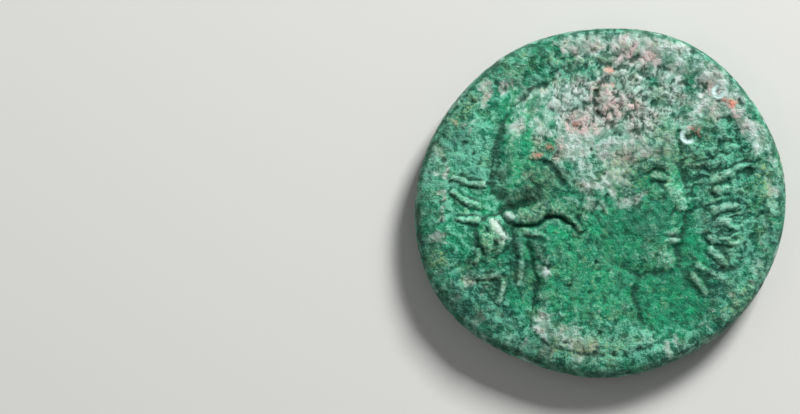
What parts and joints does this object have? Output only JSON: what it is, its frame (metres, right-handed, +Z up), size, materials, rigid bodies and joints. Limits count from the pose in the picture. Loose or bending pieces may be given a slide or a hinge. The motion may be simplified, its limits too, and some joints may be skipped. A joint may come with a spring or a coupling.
{
  "type": "roman bronze coin",
  "caption": "Worn struck bronze coin, a thick uneven disc with a low relief head on each face, lying flat.",
  "frame": {"origin": "on the flan's axis, in the plane of the under face's worn high points, which the coin rests on", "axes": "+Z up through the coin from the under face to the upper face, +Y towards the top of the upper face's head, +X the way that head looks"},
  "size_m": [0.0247, 0.0233, 0.0035],
  "materials": {
    "patinated_bronze": "green mineral patina, matt and granular, with smooth emerald recesses, pale grey-pink worn high points, dark crevices and spots of bare reddish copper"
  },
  "bodies": {
    "root": {"coin": "patinated_bronze"}
  },
  "joints": []
}
